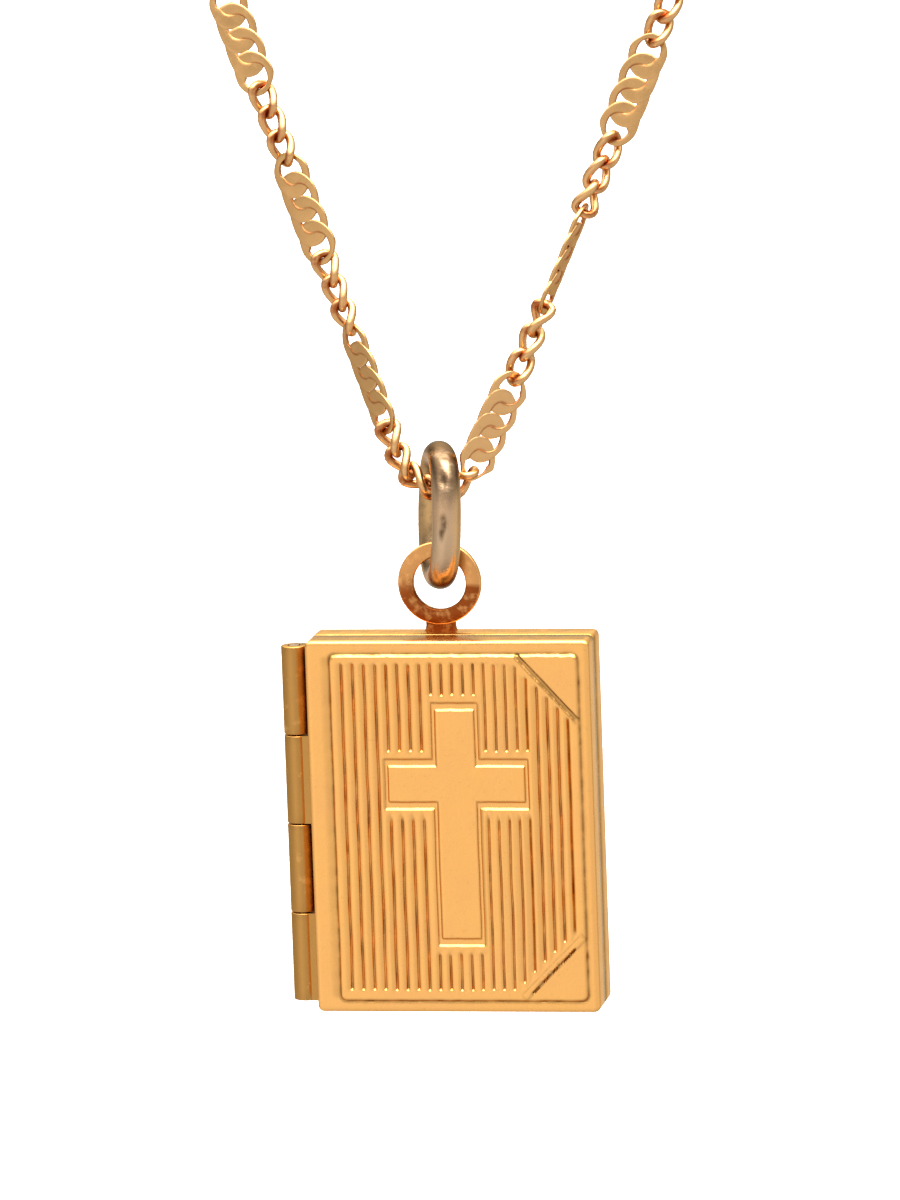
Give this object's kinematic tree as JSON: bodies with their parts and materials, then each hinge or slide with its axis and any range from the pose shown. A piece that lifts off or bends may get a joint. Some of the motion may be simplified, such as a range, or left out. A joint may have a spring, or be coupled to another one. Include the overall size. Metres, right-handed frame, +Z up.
{
  "type": "cross locket",
  "caption": "Book-shaped hinged locket with a raised cross on a ribbed cover, hanging by an eye ring and an oval bail on a fine chain of twisted links and pressed flat bars.",
  "frame": {"origin": "middle of the clasp's end of the loop, where the necklace rests on the nape or on a hook; the loop hangs within 5 degrees of upright and the locket hangs below it", "axes": "+X to the right as seen from the front, -Y to the front of the locket, +Z up, along the loop's longest extent"},
  "size_m": [0.1079, 0.0205, 0.2176],
  "materials": {
    "cover_gold": "worn polish, dark in the grooves",
    "case_gold": "worn polish",
    "pin_gold": "worn, darkened",
    "bail_gold": "pale satin with small dents",
    "chain_gold": "worn polish",
    "clasp_gold": "polish"
  },
  "bodies": {
    "chain": {"chain_left": "chain_gold", "chain_right": "chain_gold", "clasp": "clasp_gold"},
    "bail": {"bail": "bail_gold"},
    "locket": {"back_leaf": "case_gold", "hinge_pin": "pin_gold"},
    "cover": {"front_leaf": "cover_gold"}
  },
  "joints": [
    {"name": "bail_swing", "type": "hinge", "parent": "chain", "child": "bail", "pos_m": [0, -0.01628, -0.1861], "axis": [1, 0, 0], "range_deg": [-20, 35]},
    {"name": "locket_swing", "type": "hinge", "parent": "bail", "child": "locket", "pos_m": [0, -0.01628, -0.19074], "axis": [0.342, -0.9397, 0], "range_deg": [-60, 60]},
    {"name": "cover_hinge", "type": "hinge", "parent": "locket", "child": "cover", "pos_m": [-0.00748, -0.0163, -0.20392], "axis": [0.0183, 0.0976, -0.9951], "range_deg": [0, 175]}
  ]
}
